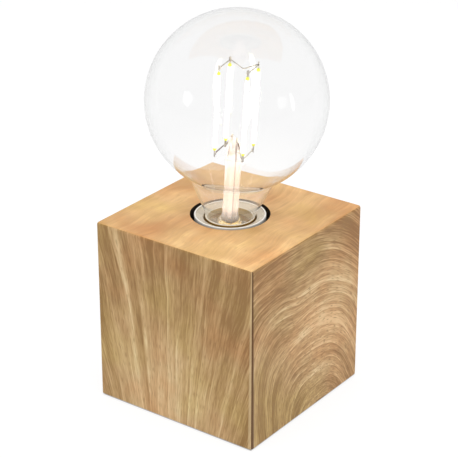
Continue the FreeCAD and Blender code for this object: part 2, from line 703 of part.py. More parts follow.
board = front_board()
write("front_board", board)
write("right_board", turned_by(board, 90))
write("back_board", back_board())
write("left_board", turned_by(board, 270))
write("top_board", top_board())
write("corner_blocks", *[corner_block(x, y) for x, y in four_corners(block_centre)])
write("base_plate", base_plate())
base_screw = wood_screw(BASE_SCREW_LENGTH, base_low)
write("base_screws", *[moved(base_screw, x, y) for x, y in four_corners(block_centre)])
write("feet", *[foot(x, y) for x, y in four_corners(foot_centre)])
write("cord_bush", cord_bush())

write("holder_bracket", bracket())
bracket_screw = wood_screw(BRACKET_SCREW_LENGTH, ear_low - SCREW_HEAD_HEIGHT)
write("bracket_screws", *[moved(bracket_screw, x) for x in bracket_screw_places()])
write("threaded_tube", threaded_tube())
write("tube_washer", tube_washer())
write("tube_nut", tube_nut())
write("holder_cap", holder_cap())
write("holder_insert", holder_insert())
write("holder_sleeve", holder_sleeve())
write("screw_shell", screw_shell())
write("centre_contact", centre_contact())
write("shell_contact", shell_contact())
write("terminal_screws", terminal_screw(-TERMINAL_OFFSET), terminal_screw(TERMINAL_OFFSET))

write("cap_tip", cap_tip())
write("cap_insulator", cap_insulator())
write("bulb_cap", bulb_cap())
write("cap_cement", cap_cement())
write("driver_board", driver_board())
write("driver_capacitor", driver_capacitor())
write("driver_chip", driver_chip())
write("globe", globe())
write("stem", stem())
write("exhaust_tube", exhaust_tube())
write("lead_wire_1", lead_wire(turns[3], turns[0]))
write("lead_wire_2", lead_wire(turns[1], turns[2]))
write("tie_wire", tie_wire())
for number, turn in enumerate(turns, 1):
    write("filament_%d" % number, filament(turn))
write("filament_tabs", *[filament_tab(turn, low) for turn in turns
                         for low in (CAGE_LOW - TAB_LENGTH, cage_top)])
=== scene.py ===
# %% [markdown]
# # A bare bulb on an oak cube
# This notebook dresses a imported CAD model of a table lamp: a mitred oak cube, a lampholder sunk
# into its top, and a clear 95 mm globe bulb with four LED filaments. The CAD model is loaded as a
# fixed frame. Pieces whose shape is already right only get a material, and pieces that need a
# finer form are replaced by surfaces worked out with numpy.

# %% Load the frame
import json
import bmesh
import bpy
import numpy as np
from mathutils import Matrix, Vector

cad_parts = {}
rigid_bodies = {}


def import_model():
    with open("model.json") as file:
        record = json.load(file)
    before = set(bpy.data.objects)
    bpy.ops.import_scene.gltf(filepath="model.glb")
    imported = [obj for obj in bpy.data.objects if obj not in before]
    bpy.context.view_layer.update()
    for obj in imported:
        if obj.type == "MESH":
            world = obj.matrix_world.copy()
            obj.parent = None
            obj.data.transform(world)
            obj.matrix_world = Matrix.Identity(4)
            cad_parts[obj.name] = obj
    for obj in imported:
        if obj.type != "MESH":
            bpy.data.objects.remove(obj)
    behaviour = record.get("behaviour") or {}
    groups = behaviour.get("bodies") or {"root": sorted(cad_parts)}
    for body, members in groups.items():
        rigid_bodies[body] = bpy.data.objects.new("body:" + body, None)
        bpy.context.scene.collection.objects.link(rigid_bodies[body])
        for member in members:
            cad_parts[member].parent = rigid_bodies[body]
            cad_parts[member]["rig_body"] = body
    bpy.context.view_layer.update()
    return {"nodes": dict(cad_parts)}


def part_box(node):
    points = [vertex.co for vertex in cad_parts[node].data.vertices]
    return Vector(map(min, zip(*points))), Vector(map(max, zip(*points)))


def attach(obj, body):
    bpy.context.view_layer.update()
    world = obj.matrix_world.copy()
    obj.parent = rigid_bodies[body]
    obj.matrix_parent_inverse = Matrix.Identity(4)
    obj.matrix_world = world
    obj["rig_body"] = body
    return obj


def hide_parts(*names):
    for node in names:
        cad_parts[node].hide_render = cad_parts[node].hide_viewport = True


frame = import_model()
nodes = frame["nodes"]

# %% [markdown]
# ## Small tools
# Three helpers carry the whole notebook. Colours are written as sRGB hex values, as a colour
# picker shows them, and one function turns them into the linear values that shaders use. Shader
# nodes are added by one function that takes the node's settings and its inputs together, so each
# line reads as one step of the recipe. Sizes are in millimetres until the mesh is made.

# %% Colour
MM = 0.001


def srgb(code):
    """Linear colour of an sRGB hex value: c / 12.92 when dark, else ((c + 0.055) / 1.055) ** 2.4."""
    value = np.array([int(code[i:i + 2], 16) for i in (0, 2, 4)]) / 255
    linear = np.where(value <= 0.04045, value / 12.92, ((value + 0.055) / 1.055) ** 2.4)
    return (*linear.tolist(), 1.0)


# %% Shader nodes
def plug(tree, node, inputs):
    """Fills a node's inputs: a value is typed in, and a node or one of its sockets is linked."""
    for key, value in inputs.items():
        if isinstance(key, int):
            socket = node.inputs[key]
        else:
            socket = next(s for s in node.inputs if s.name == key and s.enabled)
        if isinstance(value, bpy.types.Node):
            value = next(s for s in value.outputs if s.enabled)
        if isinstance(value, bpy.types.NodeSocket):
            tree.links.new(value, socket)
        else:
            socket.default_value = value
    return node


def add(tree, kind, inputs=None, stops=None, **settings):
    """Adds one shader node with its settings, its inputs, and for a colour ramp its stops."""
    node = tree.nodes.new("ShaderNode" + kind)
    for name, value in settings.items():
        setattr(node, name, value)
    if stops:
        ramp = node.color_ramp.elements
        while len(ramp) < len(stops):
            ramp.new(0.5)
        for element, (place, colour) in zip(ramp, stops):
            element.position = place
            element.color = srgb(colour) if isinstance(colour, str) else (*[colour] * 3, 1.0)
    return plug(tree, node, inputs or {})


def material(name, inputs):
    """New material with one Principled shader. Returns the material, its nodes and the shader."""
    made = bpy.data.materials.new(name)
    made.use_nodes = True
    tree = made.node_tree
    shader = tree.nodes["Principled BSDF"]
    return made, tree, plug(tree, shader, inputs)


def dress(made, *names):
    """Puts a material on CAD nodes, whose meshes stay as they are."""
    for name in names:
        mesh = nodes[name].data
        mesh.materials.clear()
        mesh.materials.append(made)
    print(made.name, "on", *names)


# %% Surfaces from grids
def skin(name, grids, made, node, along=None, crease=35.0):
    """Piece whose surface runs over grids of points in millimetres, each rows x columns x 3.

    Each row is a closed ring. Four neighbours make a face, rings shrunk to a point and rows that
    meet are merged, and the faces are turned to point outwards. The piece rides on the body of
    the CAD node that it replaces. along is one number for each point, kept for the material.
    """
    points, faces, start = [], [], 0
    for grid in grids:
        rows, columns = grid.shape[:2]
        here = start + np.arange(rows * columns).reshape(rows, columns)
        beside = np.roll(here, -1, axis=1)
        ring = np.stack([here[:-1], beside[:-1], beside[1:], here[1:]], axis=-1)
        faces.append(ring.reshape(-1, 4))
        points.append(grid.reshape(-1, 3))
        start += rows * columns
    mesh = bpy.data.meshes.new(name)
    mesh.from_pydata((np.concatenate(points) * MM).tolist(), [], np.concatenate(faces).tolist())
    if along is not None:
        layer = mesh.attributes.new("along", "FLOAT", "POINT")
        layer.data.foreach_set("value", np.concatenate([a.ravel() for a in along]))
    work = bmesh.new()
    work.from_mesh(mesh)
    bmesh.ops.remove_doubles(work, verts=work.verts, dist=0.002 * MM)
    bmesh.ops.dissolve_degenerate(work, edges=work.edges, dist=0.001 * MM)
    bmesh.ops.recalc_face_normals(work, faces=work.faces)
    work.to_mesh(mesh)
    work.free()
    mesh.shade_smooth()
    mesh.set_sharp_from_angle(angle=np.radians(crease))
    mesh.materials.append(made)
    piece = bpy.data.objects.new(name, mesh)
    bpy.context.scene.collection.objects.link(piece)
    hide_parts(node)
    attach(piece, nodes[node]["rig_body"])
    low, high = (np.array(corner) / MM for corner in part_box(node))
    print(name, len(mesh.polygons), "faces, CAD box", low.round(1), high.round(1))


def turned(profile, steps=96, waves=0.0, pitch=1.0):
    """Grid of a profile (radius, height) turned about Z in a number of steps.

    waves adds a screw thread to each ring's radius: waves * cos(2 pi height / pitch - angle).
    """
    profile = np.asarray(profile, float)
    angle = np.linspace(0, 2 * np.pi, steps, endpoint=False)
    radius, height = profile[:, :1], profile[:, 1:]
    radius = radius + np.reshape(waves, (-1, 1)) * np.cos(2 * np.pi * height / pitch - angle)
    return np.stack([radius * np.cos(angle), radius * np.sin(angle),
                     np.broadcast_to(height, radius.shape)], axis=-1)


def eased(corners, radius, closed=False, steps=5):
    """Line through corners, each rounded by a quadratic curve that touches both of its sides.

    The curve starts and ends one radius from the corner, or 45% of the shorter side if less:
    (1 - t)^2 start + 2 t (1 - t) corner + t^2 end. A closed line ends where it starts.
    """
    corners = np.asarray(corners, float)
    if closed:
        before, here, after = np.roll(corners, 1, 0), corners, np.roll(corners, -1, 0)
    else:
        before, here, after = corners[:-2], corners[1:-1], corners[2:]
    back = np.linalg.norm(before - here, axis=1, keepdims=True)
    ahead = np.linalg.norm(after - here, axis=1, keepdims=True)
    cut = np.minimum(np.reshape(radius, (-1, 1)), 0.45 * np.minimum(back, ahead))
    start = here + (before - here) / back * cut
    end = here + (after - here) / ahead * cut
    t = np.linspace(0, 1, steps)[None, :, None]
    curve = (1 - t) ** 2 * start[:, None] + 2 * t * (1 - t) * here[:, None] + t ** 2 * end[:, None]
    curve = curve.reshape(-1, corners.shape[1])
    if closed:
        return np.concatenate([curve, curve[:1]])
    return np.concatenate([corners[:1], curve, corners[-1:]])


def smooth(value, low, high):
    """S-curve from 0 at low to 1 at high: 3 t^2 - 2 t^3."""
    t = np.clip((np.asarray(value, float) - low) / (high - low), 0, 1)
    return t * t * (3 - 2 * t)


# %% [markdown]
# ## Camera
# The photograph was taken with a long lens from the front right and a little above. The angles
# and the distance were fitted to the corners of the cube. The lens is given as the focal length
# on a 36 mm wide sensor, and the camera is turned by writing its three axes into its matrix.

# %% Camera
AZIMUTH, ELEVATION = np.radians(36.21), np.radians(24.77)
toward_camera = np.array([np.sin(AZIMUTH) * np.cos(ELEVATION),
                          -np.cos(AZIMUTH) * np.cos(ELEVATION), np.sin(ELEVATION)])
rightward = np.array([np.cos(AZIMUTH), np.sin(AZIMUTH), 0.0])
upward = np.cross(toward_camera, rightward)
aim = np.array([0.0, 0.0, 51.5]) - 0.6 * rightward + 38.5 * upward
lens = bpy.data.cameras.new("camera")
lens.lens = 137.8
lens.sensor_width = 36.0
lens.clip_start = 0.01
camera = bpy.data.objects.new("camera", lens)
placed = np.eye(4)
placed[:3, :3] = np.stack([rightward, upward, toward_camera], axis=1)
placed[:3, 3] = (aim + 943.0 * toward_camera) * MM
camera.matrix_world = placed.T.tolist()
bpy.context.scene.collection.objects.link(camera)
bpy.context.scene.camera = camera
print("camera at", placed[:3, 3].round(4))

# %% [markdown]
# ## Studio
# A product photograph on white: three soft boxes, a pale table and a white surround. The table and
# the surround look white to the camera, in reflections and through glass, and only there. What
# lights the lamp is a grey surround and the soft boxes, at a level where a colour renders about as
# it is written. Two small weak lamps give the globe its soft highlights, left and right. The table
# keeps the lamp's shadow, faintly.

# %% Soft boxes
def soft_box(name, toward, distance, level, wide, tall, mirrored=False):
    """Area light that looks at the lamp from a direction.

    level is the share of a plain level that it gives a surface facing it. The level is plain when
    the light that arrives, divided by pi, is 1, so the power is level * pi^2 * distance^2. Only a
    mirrored one shows in glass and metal.
    """
    light = bpy.data.lights.new(name, "AREA")
    light.shape = "ELLIPSE"
    light.size, light.size_y = wide, tall
    light.energy = level * np.pi ** 2 * distance ** 2
    toward = np.array(toward) / np.linalg.norm(toward)
    side = np.cross([0.0, 0.0, 1.0] if abs(toward[2]) < 0.99 else [0.0, 1.0, 0.0], toward)
    side = side / np.linalg.norm(side)
    turn = np.eye(4)
    turn[:3, :3] = np.stack([side, np.cross(toward, side), toward], axis=1)
    turn[:3, 3] = np.array([0, 0, 0.1]) + distance * toward
    box = bpy.data.objects.new(name, light)
    box.matrix_world = turn.T.tolist()
    box.visible_glossy = box.visible_transmission = mirrored
    bpy.context.scene.collection.objects.link(box)
    print(name, "%.2f W" % light.energy)


soft_box("left_soft_box", (-0.455, -0.855, 0.30), 1.2, 0.20, 0.6, 0.6)
soft_box("right_soft_box", (0.94, 0.28, 0.20), 1.2, 0.20, 0.6, 0.6)
soft_box("top_soft_box", (0.1, -0.1, 1.0), 1.2, 0.57, 1.0, 1.0)
soft_box("left_glint", (-0.455, -0.855, 0.25), 1.2, 0.014, 0.30, 0.30, mirrored=True)
soft_box("right_glint", (0.944, 0.297, 0.147), 1.2, 0.014, 0.10, 0.38, mirrored=True)

# %% Surround and table
world = bpy.data.worlds.new("surround")
bpy.context.scene.world = world
world.use_nodes = True
tree = world.node_tree
path = add(tree, "LightPath")
seen = add(tree, "Math", {0: path.outputs["Is Camera Ray"], 1: path.outputs["Is Glossy Ray"]},
           operation="MAXIMUM")
seen = add(tree, "Math", {0: seen, 1: path.outputs["Is Transmission Ray"]}, operation="MAXIMUM")
tone = add(tree, "Mix", {0: seen, 6: srgb("c2c2c2"), 7: srgb("ffffff")}, data_type="RGBA")
plug(tree, tree.nodes["Background"], {"Color": tone})

TABLE = 4.0  # metres from the lamp to each edge
mesh = bpy.data.meshes.new("table")
mesh.from_pydata([(-TABLE, -TABLE, 0), (TABLE, -TABLE, 0), (TABLE, TABLE, 0), (-TABLE, TABLE, 0)],
                 [], [(0, 1, 2, 3)])
table = bpy.data.objects.new("table", mesh)
bpy.context.scene.collection.objects.link(table)
made = bpy.data.materials.new("white_table")
made.use_nodes = True
tree = made.node_tree
tree.nodes.remove(tree.nodes["Principled BSDF"])
path = add(tree, "LightPath")
seen = add(tree, "Math", {0: path.outputs["Is Camera Ray"], 1: path.outputs["Is Glossy Ray"]},
           operation="MAXIMUM")
seen = add(tree, "Math", {0: seen, 1: path.outputs["Is Transmission Ray"]}, operation="MAXIMUM")
lit = add(tree, "BsdfDiffuse", {"Color": srgb("e6e6e6")})
faint = add(tree, "BsdfDiffuse", {"Color": (0.2, 0.2, 0.2, 1.0)})
# Painted shadow: under the cube the table's glow falls to 0.08. It shows as a thin dark line
# in the gap that the feet leave.
split = add(tree, "SeparateXYZ", {"Vector": add(tree, "TexCoord").outputs["Object"]})
sides = [add(tree, "Math", {0: split.outputs[axis]}, operation="ABSOLUTE") for axis in "XY"]
outward = add(tree, "Math", {0: sides[0], 1: sides[1]}, operation="MAXIMUM")
painted_shadow_glow = add(tree, "MapRange", {"Value": outward, "From Min": 0.0485, "From Max": 0.0498,
                                  "To Min": 0.08, "To Max": 0.84})
glow = add(tree, "Emission", {"Color": (1.0, 1.0, 1.0, 1.0), "Strength": painted_shadow_glow})
both = add(tree, "AddShader", {0: faint, 1: glow})
plug(tree, tree.nodes["Material Output"],
     {"Surface": add(tree, "MixShader", {0: seen, 1: lit, 2: both})})
mesh.materials.append(made)

bpy.context.scene.view_settings.view_transform = "Standard"

# %% [markdown]
# ## Oak
# The cube is made of oak boards mitred at every edge. The front board was cut so that its grain
# rises in a fan of straight lines, and the right board flat-sawn, so that its growth rings meet the
# face as nested arches. Wood could be painted as an image, but then it would only be right from
# one side. Here each board gets a chart: two numbers for each point, one across the grain and one
# along it. The same recipe of growth rings, streaks, fibre and pores is then drawn on any chart.

# %% Charts of the grain
def fan(tree, where, centre, axes):
    """Chart of lines that spread from a point below the face.

    across is the angle about the centre times 0.2 m, and along is the distance from it.
    axes are the directions of the face's width and height.
    """
    local = add(tree, "VectorMath", {0: where, 1: centre}, operation="SUBTRACT")
    wide = add(tree, "VectorMath", {0: local, 1: axes[0]}, operation="DOT_PRODUCT")
    high = add(tree, "VectorMath", {0: local, 1: axes[1]}, operation="DOT_PRODUCT")
    angle = add(tree, "Math", {0: wide, 1: high}, operation="ARCTAN2")
    across = add(tree, "Math", {0: angle, 1: 0.2}, operation="MULTIPLY")
    along = add(tree, "VectorMath", {0: add(tree, "CombineXYZ", {"X": wide, "Y": high})},
                operation="LENGTH")
    return across, along


def arches(tree, where, centre, axes):
    """Chart of nested arches, as flat-sawn wood shows: flat tops and steep shoulders.

    With a and b the two lengths along the axes, across is (a^3 + |b|^3)^(1/3), and along is the
    angle of the point (a, b) times 0.08 m.
    """
    local = add(tree, "VectorMath", {0: where, 1: centre}, operation="SUBTRACT")
    a, b = [add(tree, "VectorMath", {0: local, 1: axis}, operation="DOT_PRODUCT")
            for axis in axes]
    cubes = [add(tree, "Math", {0: add(tree, "Math", {0: length}, operation="ABSOLUTE"), 1: 3.0},
                 operation="POWER") for length in (a, b)]
    total = add(tree, "Math", {0: cubes[0], 1: cubes[1]}, operation="ADD")
    across = add(tree, "Math", {0: total, 1: 1 / 3}, operation="POWER")
    angle = add(tree, "Math", {0: b, 1: a}, operation="ARCTAN2")
    along = add(tree, "Math", {0: angle, 1: 0.08}, operation="MULTIPLY")
    return across, along


def straight(tree, where, centre, axes):
    """Chart of straight grain: across and along are lengths on the two axes."""
    local = add(tree, "VectorMath", {0: where, 1: centre}, operation="SUBTRACT")
    return [add(tree, "VectorMath", {0: local, 1: axis}, operation="DOT_PRODUCT") for axis in axes]


# %% Oak recipe
# %% Oak
def mitre_line(tree, where, colour, axis, place, width, line_code, share):
    """Line of a colour along a mitre, wider towards the table: on the front board a pale painted
    highlight on the eased edge, on the right board a dark line at the joint.

    Its strength falls from share to nothing over its width, measured from the place on the axis.
    """
    split = add(tree, "SeparateXYZ", {"Vector": where})
    off = add(tree, "Math", {0: split.outputs[axis], 1: place * MM}, operation="SUBTRACT")
    off = add(tree, "Math", {0: off}, operation="ABSOLUTE")
    reach = add(tree, "MapRange", {"Value": split.outputs["Z"], "From Min": 0.0, "From Max": 0.1,
                                   "To Min": width * MM, "To Max": 0.45 * width * MM})
    near = add(tree, "Math", {0: off, 1: reach}, operation="DIVIDE")
    near = add(tree, "MapRange", {"Value": near, "From Min": 0.55, "From Max": 1.0,
                                  "To Min": share, "To Max": 0.0}, interpolation_type="SMOOTHSTEP")
    return add(tree, "Mix", {0: near, 6: colour, 7: srgb(line_code)}, data_type="RGBA")


def oak(name, chart, centre, axes, tones, ring=5.0, wander=3.0, force=1.0, cloud=0.2,
        pale=None, streaks=(), seam=None):
    """Sawn and sanded oak under clear oil: satin, open-pored, streaked along the grain.

    tones are five colours from the darkest streak to the palest. ring is the mean width of a
    growth ring, and wander how far a line strays, in millimetres. force is how strongly all the
    grain shows, and cloud the same for soft patches about 25 mm wide. pale is (centre, radii,
    amount) of a paler part of the board, and streaks are (place across the grain, half width,
    amount) of single pale lines. seam is what the line along a mitre needs after the colour:
    a pale painted highlight on the front board, a dark line on the right board.
    """
    made, tree, shader = material(name, {"IOR": 1.47})
    where = add(tree, "TexCoord").outputs["Object"]
    across, along = chart(tree, where, [v * MM for v in centre], axes)
    # The lines of the grain stray from their chart over about 55 mm.
    stray = add(tree, "TexNoise", {"Vector": where, "Scale": 1 / 0.055, "Detail": 1.0})
    stray = add(tree, "MapRange", {"Value": stray, "From Min": 0.3, "From Max": 0.7,
                                   "To Min": -wander * MM, "To Max": wander * MM})
    across = add(tree, "Math", {0: across, 1: stray}, operation="ADD")
    grain = add(tree, "CombineXYZ", {"X": across, "Y": along})
    # Growth rings: each runs from a dark line through a pale line to its middle tone.
    uneven = add(tree, "Mapping", {"Vector": grain, "Scale": (1 / 0.012, 1 / 0.15, 1)})
    uneven = add(tree, "TexNoise", {"Vector": uneven, "Scale": 1.0, "Detail": 1.0})
    count = add(tree, "Math", {0: across, 1: 1 / (ring * MM)}, operation="MULTIPLY")
    count = add(tree, "Math", {0: uneven, 1: 2.6, 2: count}, operation="MULTIPLY_ADD")
    rings = add(tree, "Math", {0: count}, operation="FRACT")
    rings = add(tree, "ValToRGB", {"Fac": rings}, stops=[
        (0.0, 0.22), (0.06, 0.30), (0.15, 0.95), (0.26, 0.66), (0.55, 0.52), (0.9, 0.36),
        (1.0, 0.22)])
    # Rings stand out in some places and fade in others.
    clear = add(tree, "Mapping", {"Vector": grain, "Scale": (1 / 0.018, 1 / 0.06, 1)})
    clear = add(tree, "TexNoise", {"Vector": clear, "Scale": 1.0, "Detail": 1.0})
    clear = add(tree, "MapRange", {"Value": clear, "From Min": 0.35, "From Max": 0.65,
                                   "To Min": 0.03, "To Max": 0.46})
    # Streaks 9 mm, 1.8 mm and 0.9 mm wide. Real fibres and pores are finer, and are drawn this
    # coarse so that they show at the photograph's size.
    figure = add(tree, "Mapping", {"Vector": grain, "Scale": (1 / 0.009, 1 / 0.16, 1)})
    figure = add(tree, "TexNoise", {"Vector": figure, "Scale": 1.0, "Detail": 3.0})
    lines = add(tree, "Mapping", {"Vector": grain, "Scale": (1 / 0.0018, 1 / 0.05, 1)})
    lines = add(tree, "TexNoise", {"Vector": lines, "Scale": 1.0, "Detail": 2.0})
    fibre = add(tree, "Mapping", {"Vector": grain, "Scale": (1 / 0.0009, 1 / 0.010, 1)})
    fibre = add(tree, "TexNoise", {"Vector": fibre, "Scale": 1.0, "Detail": 2.0})
    tone = add(tree, "Math", {0: rings, 1: 0.5}, operation="SUBTRACT")
    tone = add(tree, "Math", {0: tone, 1: clear, 2: -0.945}, operation="MULTIPLY_ADD")
    for streak, share in ((figure, 0.85), (lines, 0.38), (fibre, 0.66)):
        tone = add(tree, "Math", {0: streak, 1: share, 2: tone}, operation="MULTIPLY_ADD")
    tone = add(tree, "Math", {0: tone, 1: force, 2: 0.5 - 0.5 * cloud}, operation="MULTIPLY_ADD")
    patch = add(tree, "TexNoise", {"Vector": where, "Scale": 1 / 0.025, "Detail": 2.0})
    tone = add(tree, "Math", {0: patch, 1: cloud, 2: tone}, operation="MULTIPLY_ADD")
    if pale:
        middle, radii, amount = pale
        spot = add(tree, "VectorMath", {0: where, 1: [v * MM for v in middle]},
                   operation="SUBTRACT")
        spot = add(tree, "VectorMath", {0: spot, 1: [1 / (r * MM) for r in radii]},
                   operation="MULTIPLY")
        spot = add(tree, "VectorMath", {0: spot}, operation="LENGTH")
        spot = add(tree, "MapRange", {"Value": spot, "From Min": 0.0, "From Max": 1.0,
                                      "To Min": 0.45 * amount, "To Max": -0.55 * amount},
                   interpolation_type="SMOOTHSTEP")
        tone = add(tree, "Math", {0: tone, 1: spot}, operation="ADD")
    for place, width, amount in streaks:
        off = add(tree, "Math", {0: across, 1: place * MM}, operation="SUBTRACT")
        off = add(tree, "Math", {0: off}, operation="ABSOLUTE")
        off = add(tree, "MapRange", {"Value": off, "From Min": 0.0, "From Max": width * MM,
                                     "To Min": amount, "To Max": 0.0},
                  interpolation_type="SMOOTHSTEP")
        tone = add(tree, "Math", {0: tone, 1: off}, operation="ADD")
    colour = add(tree, "ValToRGB", {"Fac": tone}, stops=list(
        zip((0.24, 0.40, 0.50, 0.60, 0.76), tones)))
    # Open pores: dark dashes 0.7 mm wide and 5 mm long.
    pores = add(tree, "Mapping", {"Vector": grain, "Scale": (1 / 0.0007, 1 / 0.005, 1)})
    pores = add(tree, "TexNoise", {"Vector": pores, "Scale": 1.0, "Detail": 0.0})
    pores = add(tree, "MapRange", {"Value": pores, "From Min": 0.62, "From Max": 0.74})
    colour = add(tree, "Mix", {0: add(tree, "Math", {0: pores, 1: 0.6 * force}, operation="MULTIPLY"),
                               6: colour, 7: srgb(tones[0])}, data_type="RGBA")
    # The heartwood's colour drifts between pink and yellow over 35 mm.
    drift = add(tree, "TexNoise", {"Vector": where, "Scale": 1 / 0.035, "Detail": 2.0})
    drift = add(tree, "ValToRGB", {"Fac": drift}, stops=[
        (0.32, "fcebdc"), (0.5, "fdfcf6"), (0.68, "fbffe8")])
    colour = add(tree, "Mix", {0: 1.0, 6: colour, 7: drift}, data_type="RGBA",
                 blend_type="MULTIPLY")
    if seam:
        colour = mitre_line(tree, where, colour, *seam)
    height = add(tree, "Math", {0: pores, 1: -0.5, 2: fibre}, operation="MULTIPLY_ADD")
    bump = add(tree, "Bump", {"Height": height, "Strength": 0.35, "Distance": 0.12 * MM})
    rough = add(tree, "MapRange", {"Value": fibre, "From Min": 0.3, "From Max": 0.7,
                                   "To Min": 0.44, "To Max": 0.60})
    plug(tree, shader, {"Base Color": colour, "Normal": bump, "Roughness": rough})
    return made


# %% Another colour near the axis
def inner_zone(made, radius, low, code):
    """Gives another colour to what is nearer to the Z axis than a radius and below a height."""
    tree = made.node_tree
    shader = tree.nodes["Principled BSDF"]
    colour = shader.inputs["Base Color"].links[0].from_socket
    where = add(tree, "TexCoord").outputs["Object"]
    flat = add(tree, "VectorMath", {0: where, 1: (1, 1, 0)}, operation="MULTIPLY")
    flat = add(tree, "VectorMath", {0: flat}, operation="LENGTH")
    inside = add(tree, "Math", {0: flat, 1: radius * MM}, operation="LESS_THAN")
    split = add(tree, "SeparateXYZ", {"Vector": where})
    deep = add(tree, "Math", {0: split.outputs["Z"], 1: low * MM}, operation="LESS_THAN")
    mask = add(tree, "Math", {0: inside, 1: deep}, operation="MULTIPLY")
    plug(tree, shader, {"Base Color": add(tree, "Mix", {0: mask, 6: colour, 7: srgb(code)},
                                          data_type="RGBA")})
    return made


# %% The five boards
X, Y, Z = (1, 0, 0), (0, 1, 0), (0, 0, 1)
TONES = ("95703f", "b59161", "c4a173", "d2b285", "e9d1a6")
# The top board's tones are paler and warmer: painted light, as the top is more lit.
TOP_PAINTED_LIGHT_TONES = ("c79863", "d5a873", "deb27c", "e4b982", "f3cd92")
# The front board's seam is a pale painted highlight on its eased right edge.
dress(oak("oak_fan", fan, (-3, 0, -130), (X, Z), TONES, ring=9.0, wander=1.5, force=0.74,
          pale=((-6, -50, -4), (62, 60, 112), 0.30),
          streaks=((-27.9, 2.4, 0.16), (-1.0, 1.3, 0.12), (48.2, 1.8, 0.14)),
          seam=("X", 50.0, 2.6, "dcc094", 0.6)), "front_board")
dress(oak("oak_arches", arches, (0, 21.3, -29.4), (Z, (0, 1.61, 0.472)),
          TONES, ring=5.0, wander=2.5, pale=((50, 20, 48), (50, 64, 58), 0.28),
          streaks=((96.0, 4.5, 0.14), (80.0, 2.5, 0.10)),
          seam=("Y", -50.0, 3.0, "5a3609", 0.95)), "right_board")
# The wall of the hole is painted near black: painted shade, for the deep gap round the holder.
top = oak("oak_straight", straight, (31, 0, 0), (X, Y), TOP_PAINTED_LIGHT_TONES, ring=16.0, wander=6.0,
          force=0.55, cloud=1.1, pale=((34, -44, 103), (70, 70, 70), 0.18))
dress(inner_zone(top, 21.4, 102.9, "20130c"), "top_board")
dress(oak("oak_back", fan, (8, 0, -190), (X, Z), TONES, ring=7.0,
          pale=((10, 50, 30), (60, 60, 80), 0.28)), "back_board")
dress(oak("oak_left", arches, (0, -14, -34), (Z, (0, 1.5, -0.30)),
          TONES, ring=5.0, wander=4.0, pale=((-50, -10, 60), (50, 60, 60), 0.28)), "left_board")

# %% [markdown]
# ## Under the cube
# A birch plywood plate closes the cube from below, on glue blocks in the corners. It stands on four
# rubber pads. These pieces are plain, and only show from below, so they keep their CAD shapes.

# %% Birch plywood
def plywood(name):
    """Sanded birch ply: pale, with faint brown flecks on its faces and dark glue lines on edge."""
    made, tree, shader = material(name, {"Roughness": 0.6})
    where = add(tree, "TexCoord").outputs["Object"]
    grain = add(tree, "Mapping", {"Vector": where, "Scale": (1 / 0.0015, 1 / 0.03, 1 / 0.0012)})
    grain = add(tree, "TexNoise", {"Vector": grain, "Scale": 1.0, "Detail": 3.0})
    colour = add(tree, "ValToRGB", {"Fac": grain}, stops=[
        (0.3, "c8a577"), (0.5, "dabb8f"), (0.7, "e4cba3")])
    # Seven plies: the sheets are 1.2 mm thick, with glue between them.
    height = add(tree, "SeparateXYZ", {"Vector": where}).outputs["Z"]
    sheet = add(tree, "Math", {0: height, 1: 1 / (1.2 * MM)}, operation="MULTIPLY")
    sheet = add(tree, "Math", {0: add(tree, "Math", {0: sheet}, operation="FRACT"), 1: 0.12},
                operation="LESS_THAN")
    sheet = add(tree, "Math", {0: sheet, 1: 0.45}, operation="MULTIPLY")
    colour = add(tree, "Mix", {0: sheet, 6: colour, 7: srgb("8a6237")}, data_type="RGBA")
    bump = add(tree, "Bump", {"Height": grain, "Strength": 0.3, "Distance": 0.1 * MM})
    plug(tree, shader, {"Base Color": colour, "Normal": bump})
    return made


dress(plywood("birch_plywood"), "base_plate", "corner_blocks")


# %% Moulded rubber and plastic
def moulded(name, code, rough, mottle, grit=0.4, depth=0.02, **values):
    """Moulded plastic, rubber or pressed ceramic: one colour, faintly mottled, with a fine grit.

    mottle is how far the colour drifts, grit the grain of the surface and depth its height in mm.
    """
    made, tree, shader = material(name, {"Roughness": rough, **values})
    where = add(tree, "TexCoord").outputs["Object"]
    cloud = add(tree, "TexNoise", {"Vector": where, "Scale": 1 / 0.008, "Detail": 3.0})
    level = add(tree, "MapRange", {"Value": cloud, "From Min": 0.3, "From Max": 0.7,
                                   "To Min": 1 - mottle, "To Max": 1.0})
    colour = add(tree, "VectorMath", {0: srgb(code)[:3], "Scale": level}, operation="SCALE")
    grain = add(tree, "TexNoise", {"Vector": where, "Scale": 1 / (grit * MM), "Detail": 2.0})
    bump = add(tree, "Bump", {"Height": grain, "Strength": 0.5, "Distance": depth * MM})
    polish = add(tree, "MapRange", {"Value": cloud, "From Min": 0.3, "From Max": 0.7,
                                    "To Min": rough * 0.85, "To Max": min(1.0, rough * 1.2)})
    plug(tree, shader, {"Base Color": colour, "Normal": bump, "Roughness": polish})
    return made


# Soft black rubber: dull, with a coarse skin.
dress(moulded("moulded_rubber", "242424", 0.8, 0.15, grit=0.6, depth=0.05), "feet")
# Nylon: a harder black with a faint shine.
dress(moulded("moulded_nylon", "1d1d1e", 0.45, 0.12), "cord_bush")
# Melamine: white, hard and glossy. The dish is painted greyer than the lip: painted shade, as
# it lies below the lip, out of the light.
holder_plastic = inner_zone(
    moulded("pressed_melamine", "f6f0e6", 0.28, 0.05, grit=0.8, depth=0.01),
    18.15, 102.7, "cfc1ab")
dress(holder_plastic, "holder_cap")
# Cement: chalky and matt, baked golden brown inside.
basing_cement = inner_zone(
    moulded("baked_basing_cement", "efe4cf", 0.75, 0.10, grit=0.5, depth=0.05),
    12.35, 101.7, "c9a254")
# Steatite: pressed, fired and left unglazed, so it is matt and off-white.
dress(moulded("pressed_steatite", "e9e4d6", 0.55, 0.08, grit=0.5), "holder_insert")


